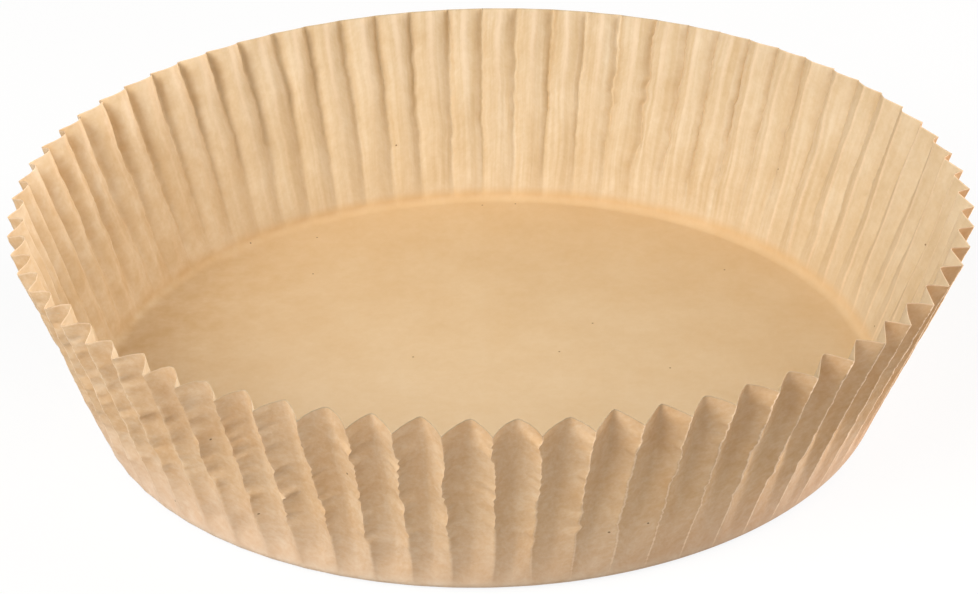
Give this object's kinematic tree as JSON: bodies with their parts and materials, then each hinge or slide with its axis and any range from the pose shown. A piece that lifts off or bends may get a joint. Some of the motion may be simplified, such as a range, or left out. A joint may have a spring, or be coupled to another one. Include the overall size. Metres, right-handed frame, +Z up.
{
  "type": "air fryer paper liner",
  "caption": "Round pleated paper cup with a flat floor and a flared wall, which lines the basket of an air fryer and holds food and fat.",
  "frame": {"origin": "centre of the floor's underside, on the surface that the cup stands on", "axes": "+Z up the cup's axis towards its open mouth; +X and +Y each pass through an outer fold"},
  "size_m": [0.2, 0.2, 0.0452],
  "materials": {
    "baking_paper": "unbleached greaseproof paper, matt, cloudy, with fine fibres"
  },
  "bodies": {
    "root": {"liner": "baking_paper"}
  },
  "joints": []
}
